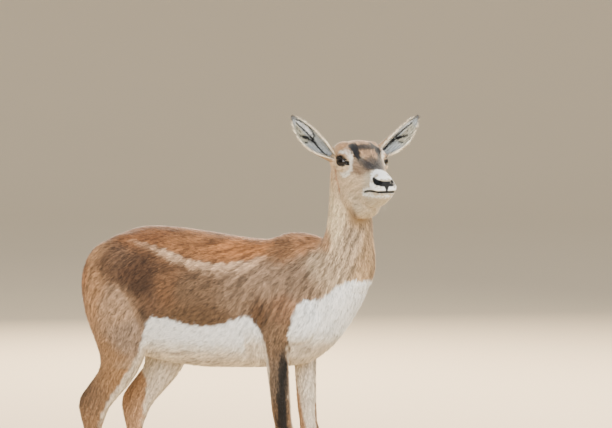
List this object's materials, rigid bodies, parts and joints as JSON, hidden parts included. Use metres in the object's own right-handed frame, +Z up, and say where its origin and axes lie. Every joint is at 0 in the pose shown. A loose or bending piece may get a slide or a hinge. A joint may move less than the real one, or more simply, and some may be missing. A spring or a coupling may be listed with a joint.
{
  "type": "blackbuck",
  "caption": "Still, life-size model of a hornless blackbuck standing with its head up and turned to its right.",
  "frame": {"origin": "on the floor, under the middle of the animal's bounding box", "axes": "+X towards the front of the body, +Y towards its left side, +Z up; the head is turned towards -Y"},
  "size_m": [0.9182, 0.2716, 0.9787],
  "materials": {
    "body_coat": "short smooth fur",
    "head_coat": "very short fur",
    "leg_coat": "short smooth fur",
    "ear_coat": "thin short fur",
    "eye": "wet and glossy",
    "hoof": "smooth horn"
  },
  "bodies": {
    "root": {"torso": "body_coat", "neck": "body_coat", "head": "head_coat", "tail": "body_coat", "ear_right": "ear_coat", "ear_left": "ear_coat", "eye_right": "eye", "eye_left": "eye", "foreleg_right": "leg_coat", "foreleg_left": "leg_coat", "hind_leg_right": "leg_coat", "hind_leg_left": "leg_coat", "hoof_foreleg_right_inner": "hoof", "hoof_foreleg_right_outer": "hoof", "hoof_foreleg_left_inner": "hoof", "hoof_foreleg_left_outer": "hoof", "hoof_hind_leg_right_inner": "hoof", "hoof_hind_leg_right_outer": "hoof", "hoof_hind_leg_left_inner": "hoof", "hoof_hind_leg_left_outer": "hoof"}
  },
  "joints": []
}
